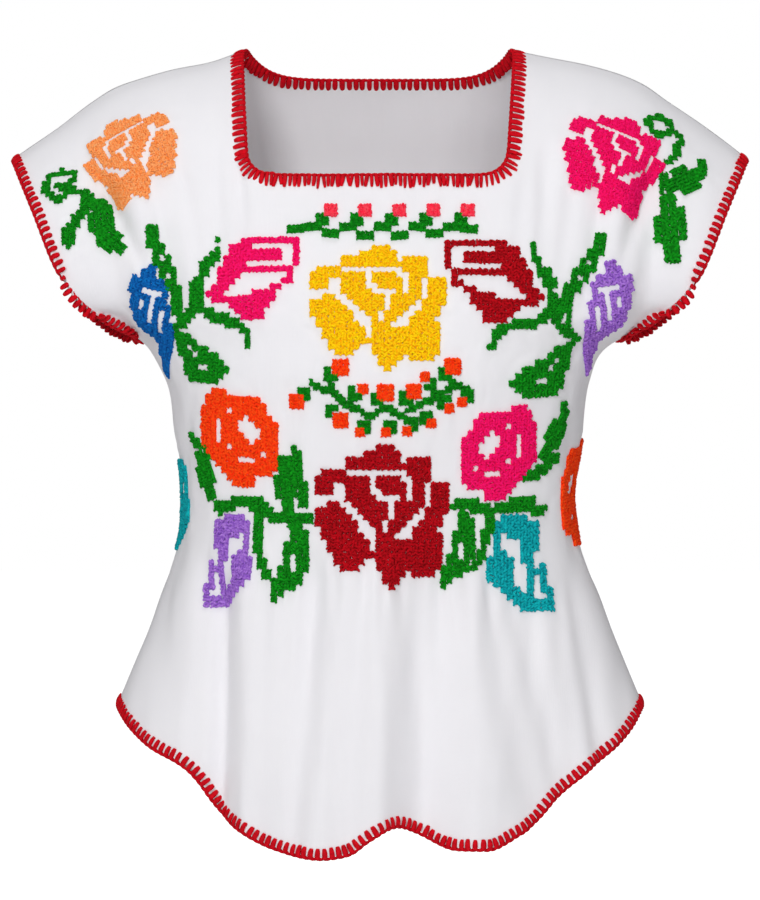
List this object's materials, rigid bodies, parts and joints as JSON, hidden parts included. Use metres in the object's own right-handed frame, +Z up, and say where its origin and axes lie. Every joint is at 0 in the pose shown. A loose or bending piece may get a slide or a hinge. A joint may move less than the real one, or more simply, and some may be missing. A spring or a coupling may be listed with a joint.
{
  "type": "embroidered blouse",
  "caption": "Waisted cotton blouse with cap sleeves cut on, a square neck, a curved shirt-tail hem and a yarn edge round every opening.",
  "frame": {"origin": "midway between the two points where the shoulder seams meet the neck, where the wearer's shoulders hold the blouse up", "axes": "+Z up along the body, front of the blouse towards -Y, +X towards the wearer's left sleeve"},
  "size_m": [0.5832, 0.2548, 0.6324],
  "materials": {
    "white_cotton": "plain woven cotton, matt",
    "red_yarn": "twisted yarn, matt"
  },
  "bodies": {
    "root": {"front_panel": "white_cotton", "back_panel": "white_cotton", "neck_edging": "red_yarn", "cuff_edging_right": "red_yarn", "cuff_edging_left": "red_yarn", "hem_edging": "red_yarn"}
  },
  "joints": []
}
